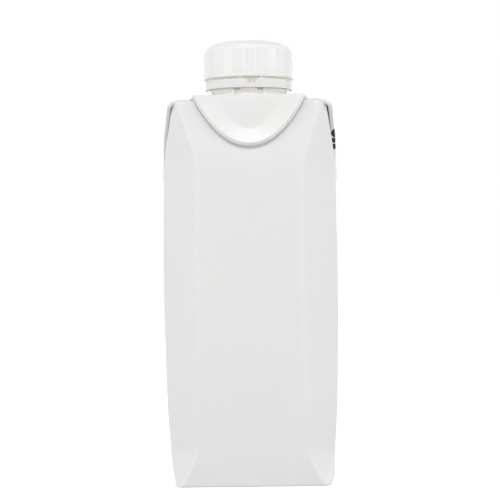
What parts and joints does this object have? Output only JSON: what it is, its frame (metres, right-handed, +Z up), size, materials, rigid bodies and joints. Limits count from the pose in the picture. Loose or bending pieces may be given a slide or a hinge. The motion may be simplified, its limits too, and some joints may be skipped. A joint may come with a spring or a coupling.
{
  "type": "drinking water carton with screw cap",
  "caption": "Shut white drinking-water carton with bevelled edges, folded ears and seals, and a wide ribbed screw cap on a moulded spout frame with a drinking tongue.",
  "frame": {"origin": "middle of the square base, on the surface that the carton stands on", "axes": "+Z up through the pack, -Y out of the front panel with the drinking tongue, +X to the right as seen from the front"},
  "size_m": [0.0588, 0.0583, 0.1451],
  "materials": {
    "coated_board": "white board with a thin satin plastic coating",
    "frame_plastic": "white moulded plastic, soft gloss",
    "cap_plastic": "white moulded plastic, satin"
  },
  "bodies": {
    "root": {"carton": "coated_board", "spout_frame": "frame_plastic", "screw_cap": "cap_plastic"}
  },
  "joints": []
}
